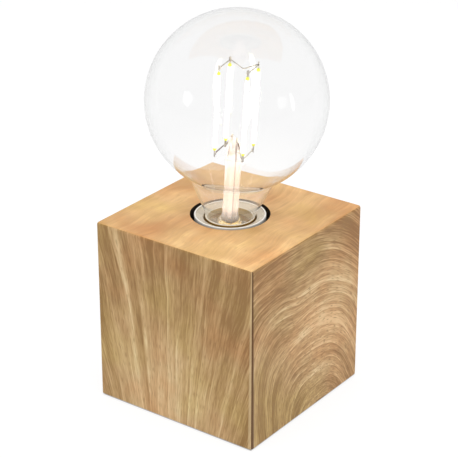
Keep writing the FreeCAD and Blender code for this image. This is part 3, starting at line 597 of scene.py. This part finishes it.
# %% Metals
def metal(name, code, rough, stain, grain=(1.0, 1.0, 1.0), depth=0.01, amount=0.35):
    """Bare or plated metal: the metal's own colour, clouded by a stain, with fine working marks.

    grain stretches the marks along an axis, as drawing, rolling or turning leaves them.
    """
    made, tree, shader = material(name, {"Metallic": 1.0, "Roughness": rough})
    where = add(tree, "TexCoord").outputs["Object"]
    cloud = add(tree, "TexNoise", {"Vector": where, "Scale": 1 / 0.004, "Detail": 4.0})
    spread = add(tree, "MapRange", {"Value": cloud, "From Min": 0.45, "From Max": 0.75,
                                    "To Min": 0.0, "To Max": amount})
    colour = add(tree, "Mix", {0: spread, 6: srgb(code), 7: srgb(stain)}, data_type="RGBA")
    marks = add(tree, "Mapping", {"Vector": where, "Scale": [g / (0.3 * MM) for g in grain]})
    marks = add(tree, "TexNoise", {"Vector": marks, "Scale": 1.0, "Detail": 3.0})
    polish = add(tree, "MapRange", {"Value": marks, "From Min": 0.3, "From Max": 0.7,
                                    "To Min": rough * 0.75, "To Max": rough * 1.35})
    bump = add(tree, "Bump", {"Height": marks, "Strength": 0.4, "Distance": depth * MM})
    plug(tree, shader, {"Base Color": colour, "Roughness": polish, "Normal": bump})
    return made


# Zinc plate: cool grey with a cloudy sheen.
dress(metal("zinc_plated_steel", "c9ccd0", 0.34, "8f9499"), "base_screws", "holder_bracket",
      "bracket_screws", "threaded_tube", "tube_washer", "tube_nut")
# Rolled bronze strip: reddish, with marks along its length.
dress(metal("sprung_bronze", "c58f56", 0.32, "84592f", grain=(0.1, 1, 1)),
      "centre_contact", "shell_contact")
# Nickel plate: warmer than zinc, and brighter.
dress(metal("nickel_plated_brass", "cfcabd", 0.28, "9a9280"), "terminal_screws")
# Solder: a grey blob that froze with a rippled skin.
dress(metal("tin_solder", "c4c6c8", 0.42, "8c8e90", depth=0.03), "cap_tip")
# Bead glass: black and shiny, poured round the contact.
dress(moulded("black_bead_glass", "14110f", 0.12, 0.2, grit=1.5), "cap_insulator")
# Brass: drawn into the shell, with marks up and down, or rolled into the cap, with marks round it.
drawn_brass = metal("drawn_brass", "d9b35c", 0.30, "a2773a", grain=(1, 1, 0.08))
cap_brass = metal("rolled_brass", "d8b25a", 0.30, "a47a3c", grain=(1, 1, 6), amount=0.5)

# %% [markdown]
# ## Lampholder
# The holder's mouth is a moulded white lip around a shallow dish. The CAD solid has its sharp
# steps, and a mould leaves none, so the same outline is turned again here with eased corners. The
# brass shell below it gets the rolled thread that the CAD draws as a cylinder. Both are profiles
# turned about Z. The thread is a cosine wave that climbs one pitch for each turn.

# %% Sleeve
RIM = 103.0  # top of the cube and of the holder's lip
outline = eased([(14.0, 62.0), (16.8, 62.0), (16.8, 68.0), (19.0, 68.0), (19.0, RIM),
                 (18.1, RIM), (18.1, 102.3), (14.0, 101.2)],
                [0.2, 0.2, 0.2, 0.2, 0.42, 0.42, 0.35, 0.6], closed=True, steps=6)
skin("sleeve", [turned(outline)], holder_plastic, "holder_sleeve")

# %% Brass shell with its thread
PITCH = 3.629  # mm for each turn, as the joint lifts the bulb
RIDGE = 0.45  # height of the thread's wave above and below its middle
rise = np.linspace(70.35, 98.5, 110)
mouth = smooth(rise, 96.0, 98.4)
wave = RIDGE * smooth(rise, 74.0, 78.0) * (1 - mouth)
# The mouth opens by the height of a ridge, so that the cap's ridges can pass it.
wall = np.stack([13.25 + RIDGE * mouth, rise], axis=1)
flange = np.array([(10.6, 70.0), (12.9, 70.0), (13.25, 70.35)])
outside = turned(np.concatenate([flange, wall[1:]]), 112,
                 np.concatenate([np.zeros(3), wave[1:]]), PITCH)
inside = turned(np.concatenate([wall[::-1] - [0.35, 0], [(12.55, 70.35), (10.6, 70.35),
                                                        (10.6, 70.0)]]), 112,
                np.concatenate([wave[::-1], np.zeros(3)]), PITCH)
rim = np.stack([outside[-1], inside[0]])
skin("shell", [outside, rim, inside], drawn_brass, "screw_shell")

# %% [markdown]
# ## Bulb cap
# The cap is brass sheet with its thread rolled in, so the ridges show inside and out. It is the
# same wave as in the shell, in step with it: when the bulb turns, the joint lifts it by the pitch
# and the ridges slide along their grooves.

# %% Bulb cap
SEAT = 101.6  # the cap's upper edge, where the glass begins
rise = np.linspace(80.4, 99.0, 84)
lead_in = smooth(rise, 80.8, 82.6)
wave = RIDGE * lead_in * (1 - smooth(rise, 96.6, 98.8))
# The plain foot is as narrow as the thread's grooves, so that it passes the shell's ridges.
barrel = np.stack([12.6 - RIDGE * (1 - lead_in), rise], axis=1)
foot = eased([(8.4, 78.0), (9.0, 78.1), (12.6 - RIDGE, 80.4)], 0.6)
skirt = eased([(12.6, 99.0), (12.65, 99.2), (13.2, 99.5), (13.2, SEAT)], 0.3)
profile = np.concatenate([foot[:-1], barrel, skirt[1:]])
waves = np.concatenate([np.zeros(len(foot) - 1), wave, np.zeros(len(skirt) - 1)])
outside = turned(profile, 112, waves, PITCH)
inside = turned(profile[::-1] - [0.3, 0], 112, waves[::-1], PITCH)
inside[0, :, 2] = SEAT
skin("screw_cap", [outside, np.stack([outside[-1], inside[0]]), inside,
                   np.stack([inside[-1], outside[0]])], cap_brass, "bulb_cap")

# %% [markdown]
# ## Cement
# Basing cement holds the glass in the cap. It is put on as a paste round the neck, the cap is
# pushed over it, and both go through an oven. It bakes golden brown inside, and the bead that is
# squeezed out over the cap's edge stays cream. A thin skin of it runs down the cap's wall. The piece
# is the cement's outline turned about Z.

# %% Cement
paste = eased([(11.7, 86.2), (11.9, 86.0), (12.25, 99.5), (12.6, 101.5), (13.1, 101.5),
               (13.22, 101.9), (12.5, 102.1), (12.25, 101.6), (12.0, 98.8), (11.75, 98.2)],
              [0.1, 0.1, 0.3, 0.2, 0.1, 0.25, 0.3, 0.3, 0.3, 0.3], closed=True, steps=4)
skin("cement_ring", [turned(paste)], basing_cement, "cap_cement")

# %% [markdown]
# ## Glass
# The envelope is one even wall of blown soda glass, a ball that runs through a hollow curve into a
# neck. It is turned from the same arcs as the CAD solid, in finer steps, and leans a little, as the
# real one is cemented in its cap. Glass with two faces bends the light twice, as it should. Lamps
# shine through it by a plain transparent shader, because light that is bent by a lamp's glass would
# take hours to settle.

# %% Lean of the glass
LEAN, LEAN_TOWARD = np.radians(3.1), np.radians(45.0)


def leaned(points):
    """Turns points of the glass by the lean about the middle of the cap's edge, and lifts them.

    A turn by an angle about a level axis k: p cos + (k x p) sin + k (k . p)(1 - cos).
    """
    axis = np.array([-np.sin(LEAN_TOWARD), np.cos(LEAN_TOWARD), 0.0])
    along = points @ axis
    return (points * np.cos(LEAN) + np.cross(axis, points) * np.sin(LEAN)
            + along[..., None] * axis * (1 - np.cos(LEAN)) + [0, 0, SEAT])


def bow(centre, radius, first, last, count):
    """Points on a circle in the outline's plane, from one angle to another."""
    angle = np.linspace(first, last, count)
    return np.stack([centre[0] + radius * np.cos(angle), centre[1] + radius * np.sin(angle)], 1)


NECK = 11.85  # radius of the neck
FOOT, LAP = -3.0, -1.3  # heights from the cap's edge of the neck's end and of its cone's start
BALL = 64.4  # height of the ball's middle


def glass_line(inset):
    """Outline of the glass from neck to crown: cylinder, cone, hollow arc and ball.

    The hollow arc touches the cone where that starts, and the ball from outside.
    """
    slope = np.radians(25.0)
    crown, hollow = 47.5 - inset, 12.0 + inset
    start = NECK - inset / np.cos(slope)
    off = np.array([start + hollow * np.cos(slope), LAP - hollow * np.sin(slope) - BALL])
    cone = np.array([np.sin(slope), np.cos(slope)])
    along = off @ cone
    run = -along - np.sqrt(along ** 2 - off @ off + (crown + hollow) ** 2)
    middle = off + run * cone
    meets = np.arctan2(middle[1], middle[0])
    middle = middle + [0, BALL]
    return np.concatenate([
        [(NECK - inset, FOOT)], [(start, LAP)],
        bow(middle, hollow, np.pi - slope, np.pi + meets, 14),
        bow((0, BALL), crown, meets, np.pi / 2, 90)[1:]])


# %% Glass materials
def glass(name, tint, rim, index, ripple, depth, glow, milky=0.0):
    """Clear glass: smooth, faintly tinted, slightly uneven. Lamps shine straight through it.

    The tint deepens to the rim's, where the wall is seen edge on. milky is the share that
    scatters, as tiny bubbles do where glass has been heated and pressed: none in the flange,
    all of it 8 mm higher. glow is (height without it, height with all of it, strength, colour):
    a painted glow, an emission in the glass that stands in for the filaments' light scattered
    towards the neck.
    """
    made, tree, shader = material(name, {"Roughness": 0.0, "IOR": index,
                                         "Transmission Weight": 1.0})
    where = add(tree, "TexCoord").outputs["Object"]
    height = add(tree, "SeparateXYZ", {"Vector": where}).outputs["Z"]
    none, full, strength, warm = glow
    plug(tree, shader, {"Emission Color": srgb(warm), "Emission Strength": add(
        tree, "MapRange", {"Value": height, "From Min": none, "From Max": full,
                           "To Min": 0.0, "To Max": strength})})
    if milky:
        plug(tree, shader, {"Transmission Weight": add(tree, "MapRange", {
            "Value": height, "From Min": 0.0995, "From Max": 0.107,
            "To Min": 1.0, "To Max": 1.0 - milky})})
    edge = add(tree, "LayerWeight", {"Blend": 0.28}).outputs["Facing"]
    colour = add(tree, "ValToRGB", {"Fac": edge}, stops=[(0.35, tint), (0.95, rim)])
    uneven = add(tree, "TexNoise", {"Vector": where, "Scale": 1 / (ripple * MM), "Detail": 1.0})
    bump = add(tree, "Bump", {"Height": uneven, "Strength": 0.5, "Distance": depth * MM})
    plug(tree, shader, {"Base Color": colour, "Normal": bump})
    clear = add(tree, "BsdfTransparent", {"Color": srgb("fafafa")})
    path = add(tree, "LightPath")
    lamp = add(tree, "Math", {0: path.outputs["Is Shadow Ray"], 1: path.outputs["Is Diffuse Ray"]},
               operation="MAXIMUM")
    plug(tree, tree.nodes["Material Output"],
         {"Surface": add(tree, "MixShader", {0: lamp, 1: shader, 2: clear})})
    return made


# The globe is blown: thin, clear and even. The stem is pressed hot: thicker, with bubbles and waves.
# Both glasses carry a faint painted glow near the neck, by an emission in the glass.
globe_glass = glass("blown_soda_glass", "fafafa", "dfe0e0", 1.5, 14.0, 0.015,
                    glow=(0.140, 0.110, 0.045, "fff1dc"))
stem_glass = glass("pressed_lead_glass", "fbf3ec", "f3e6dc", 1.56, 3.0, 0.04, milky=0.25,
                   glow=(0.0995, 0.107, 0.25, "ffeadb"))
# The flange, down in the neck, is tinted golden: a painted reflection of the cement
# beside it.
inner_zone(stem_glass, 12.0, 101.0, "e8c06a")

# %% Globe
outer, inner = glass_line(0.0), glass_line(0.8)
shell = leaned(turned(np.concatenate([inner[:1], outer]), 128))
lining = leaned(turned(inner[::-1], 128))
skin("envelope", [shell, lining], globe_glass, "globe")

# %% [markdown]
# ## Stem
# Inside the neck a glass tube is melted on by a splayed flange, and its top is pressed flat round
# the two wires. A turned profile can't go flat, so each ring is a rounded rectangle, a superellipse
# |x / w|^n + |y / t|^n = 1, whose half width, half thickness and power change with the height.

# %% Stem
PINCH_TURN = 150.0  # compass of the pinch's width


def flat_rings(rows, steps=72):
    """Rings from rows of (height, half width, half thickness, power): a superellipse each."""
    rows = np.asarray(rows, float)
    angle = np.linspace(0, 2 * np.pi, steps, endpoint=False)
    power = 2 / rows[:, 3:4]
    wide = rows[:, 1:2] * np.sign(np.cos(angle)) * np.abs(np.cos(angle)) ** power
    thick = rows[:, 2:3] * np.sign(np.sin(angle)) * np.abs(np.sin(angle)) ** power
    turn = np.radians(PINCH_TURN)
    return np.stack([wide * np.cos(turn) - thick * np.sin(turn),
                     wide * np.sin(turn) + thick * np.cos(turn),
                     np.broadcast_to(rows[:, :1], wide.shape)], axis=-1)


splay = eased([(3.4, -3.0), (10.75, -3.0), (10.75, -2.2), (6.2, -2.0), (4.2, 1.5), (4.2, 8.0)],
              [0.3, 0.3, 3.0, 4.0], steps=9)
rows = [(h, r, r, 2.0) for r, h in splay]
high = np.linspace(8.0, 43.0, 60)[1:]
press = smooth(high, 32.0, 38.0)
width = 4.2 + 0.35 * press - 0.55 * smooth(high, 41.8, 43.0)
thick = 4.2 - 2.0 * press - 0.6 * smooth(high, 41.6, 43.0)
rows += list(zip(high, width, thick, 2 + 1.2 * press))
rows += [(43.05, 3.2, 1.0, 2.6), (43.1, 0.0, 0.0, 2.0)]
bore = [(-3.0, 3.4)] + [(h, 3.4) for h in np.linspace(-2.0, 30.5, 20)]
bore += [(31.8, 2.9), (32.6, 1.9), (33.0, 0.0)]
inside = [(h, r, r, 2.0) for h, r in bore]
skin("stem_glass", [leaned(flat_rings(rows)), leaned(flat_rings(inside))], stem_glass, "stem")

# %% Exhaust tube
line = eased([(0.9, -1.5), (1.5, -1.5), (1.5, 33.0), (0.9, 33.0)], 0.2, closed=True)
skin("pump_tube", [leaned(turned(line, 32))], stem_glass, "exhaust_tube")

# %% [markdown]
# ## Filaments
# Each LED filament is a thin carrier with a row of tiny diodes, coated with yellow phosphor. The
# lit length is far too bright for a camera and shows white. The last millimetres at both ends have
# no diodes, so they keep the phosphor's lemon colour. A number along the strip drives the glow.

# %% Phosphor
# Phosphor powder in silicone: a soft lemon-yellow rubber that lets some light through.
made, tree, shader = material("phosphor_silicone", {"Roughness": 0.55, "IOR": 1.41,
                                                    "Subsurface Weight": 0.15,
                                                    "Subsurface Scale": 0.0006})
along = add(tree, "Attribute", attribute_name="along").outputs["Fac"]
grain = add(tree, "TexNoise", {"Vector": add(tree, "TexCoord").outputs["Object"],
                               "Scale": 1 / (0.5 * MM), "Detail": 2.0})
body = add(tree, "ValToRGB", {"Fac": grain}, stops=[(0.3, "d2cf30"), (0.7, "eef050")])
light = add(tree, "ValToRGB", {"Fac": along}, stops=[
    (0.0, "c3c832"), (0.025, "e2ea48"), (0.045, "fff0c4"), (0.09, "fff6e6"),
    (0.91, "fff6e6"), (0.955, "fff0c4"), (0.975, "e2ea48"), (1.0, "c3c832")])
middle = add(tree, "Math", {0: along, 1: 0.5}, operation="SUBTRACT")
middle = add(tree, "Math", {0: middle}, operation="ABSOLUTE")
power = add(tree, "MapRange", {"Value": middle, "From Min": 0.47, "From Max": 0.42,
                               "To Min": 0.6, "To Max": 9.0}, interpolation_type="SMOOTHSTEP")
bump = add(tree, "Bump", {"Height": grain, "Strength": 0.5, "Distance": 0.05 * MM})
plug(tree, shader, {"Base Color": body, "Emission Color": light, "Emission Strength": power,
                    "Normal": bump})
phosphor = made


# %% Filament strips
def compass(radius, degrees, height):
    """Point at a radius and a compass angle about the bulb's axis, at a height."""
    turn = np.radians(degrees)
    return np.array([radius * np.cos(turn), radius * np.sin(turn), height])


CAGE_TURNS = (240.0, 330.0, 60.0, 150.0)
CAGE_RADIUS, STRIP, LOW_END, LENGTH = 11.0, 0.95, 38.0, 43.0
for number, turn in enumerate(CAGE_TURNS, 1):
    share = np.concatenate([[0.0, 0.002, 0.008], np.linspace(0.02, 0.98, 80), [0.992, 0.998, 1.0]])
    # A dipped coat: round ends, and a thickness that wavers by a few hundredths of a millimetre.
    radius = STRIP * np.sqrt(np.clip(1 - np.abs(2 * share - 1) ** 40, 0, 1))
    radius = radius * (1 + 0.03 * np.sin(share * LENGTH * 1.3 + number))
    rings = turned(np.stack([radius, LOW_END + LENGTH * share], 1), 24)
    rings = rings + compass(CAGE_RADIUS, turn, 0)
    skin("filament_coat_%d" % number, [leaned(rings)], phosphor, "filament_%d" % number,
         along=[np.repeat(share[:, None], 24, axis=1)])

# %% [markdown]
# ## Wires
# Nickel wires tie the tabs of the filaments at both ends of the cage. In the CAD they are straight
# runs with mitred corners. Here each corner is bent round, and a small bead stands where the wire
# is welded to a tab. A round section is carried along the line, square to its direction.

# %% Wire tools
def carried(line, radius, steps=14):
    """Tube along a line: rings of a radius in the plane square to the line's direction.

    The ring's two axes are the direction crossed with a fixed skew vector, and crossed again.
    """
    line = np.asarray(line, float)
    way = np.gradient(line, axis=0)
    way = way / np.linalg.norm(way, axis=1, keepdims=True)
    side = np.cross(way, [0.36, 0.48, 0.80])
    side = side / np.linalg.norm(side, axis=1, keepdims=True)
    other = np.cross(way, side)
    angle = np.linspace(0, 2 * np.pi, steps, endpoint=False)[None, :, None]
    radius = np.broadcast_to(radius, len(line))[:, None, None]
    rings = line[:, None] + radius * (np.cos(angle) * side[:, None] + np.sin(angle) * other[:, None])
    return np.concatenate([np.repeat(line[:1, None], steps, 1), rings,
                           np.repeat(line[-1:, None], steps, 1)])


def bead(place, radius):
    """Round blob: a half circle turned about Z, a little taller than wide."""
    return turned(bow((0, 0), radius, -np.pi / 2, np.pi / 2, 9) * [1, 1.25], 14) + place


def weld(turn, level, way):
    """The two ends of a wire's run along a tab, in the order met when going round this way."""
    radius, aside = np.hypot(10.525, 0.6), way * np.degrees(np.arctan2(0.6, 10.525))
    return [compass(radius, turn - aside, level), compass(radius, turn + aside, level)]


WIRE = 0.3
LEADS, TIES = 36.3, 82.7
# The wires are nickel in the cage and copper-clad where the glass is pressed round them.
nickel_wire = inner_zone(
    metal("bright_nickel_wire", "cfc8bd", 0.35, "8f877d", amount=0.6), 8.0, 144.5, "55301e")
dress(nickel_wire, "filament_tabs")

# %% Lead wires
for number, (first, second) in enumerate([(150.0, 240.0), (330.0, 60.0)], 1):
    corners = [compass(2.5, first, -4.2), compass(2.5, first, 45.6),
               *weld(first, LEADS, 1), *weld(second, LEADS, 1)]
    line = eased(corners, [1.6, 0.5, 0.5, 0.5], steps=7)
    beads = [bead(compass(10.66, turn, LEADS), 0.42) for turn in (first, second)]
    skin("lead_%d" % number, [leaned(g) for g in [carried(line, WIRE), *beads]], nickel_wire,
         "lead_wire_%d" % number)

# %% Tie wire
corners = [*weld(240.0, TIES, -1), *weld(150.0, TIES, -1), compass(4.0, 340.0, TIES),
           *weld(60.0, TIES, -1), *weld(330.0, TIES, -1)]
line = eased(corners, [0.5, 0.5, 0.5, 2.0, 0.5, 0.5, 0.5], steps=7)
beads = [bead(compass(10.66, turn, TIES), 0.42) for turn in CAGE_TURNS]
skin("tie", [leaned(g) for g in [carried(line, WIRE), *beads]], nickel_wire, "tie_wire")

# %% [markdown]
# ## Driver
# A small board stands in the cap and feeds the filaments from the mains. Only its upper edge shows
# through the neck. Its pieces keep their CAD shapes.

# %% Driver materials
# Brown board of paper and resin, a capacitor in a shrunk plastic sleeve and a chip in matt resin.
dress(moulded("phenolic_board", "9b7a44", 0.5, 0.2, grit=0.5), "driver_board")
dress(moulded("capacitor_sleeve", "23282f", 0.35, 0.1), "driver_capacitor")
dress(moulded("chip_resin", "1b1b1c", 0.6, 0.15), "driver_chip")

# %% [markdown]
# ## Check
# Each piece made from grids printed the box of the CAD node that it replaces. The visual model
# has to stay inside the CAD model's box. The cell below lists the shown nodes that have no
# material of this notebook.

# %% Nodes without a finish
plain = [n for n, o in nodes.items() if not o.hide_render and (
    not o.data.materials or o.data.materials[0].name[0] == "_")]
print("nodes without a finish:", plain)
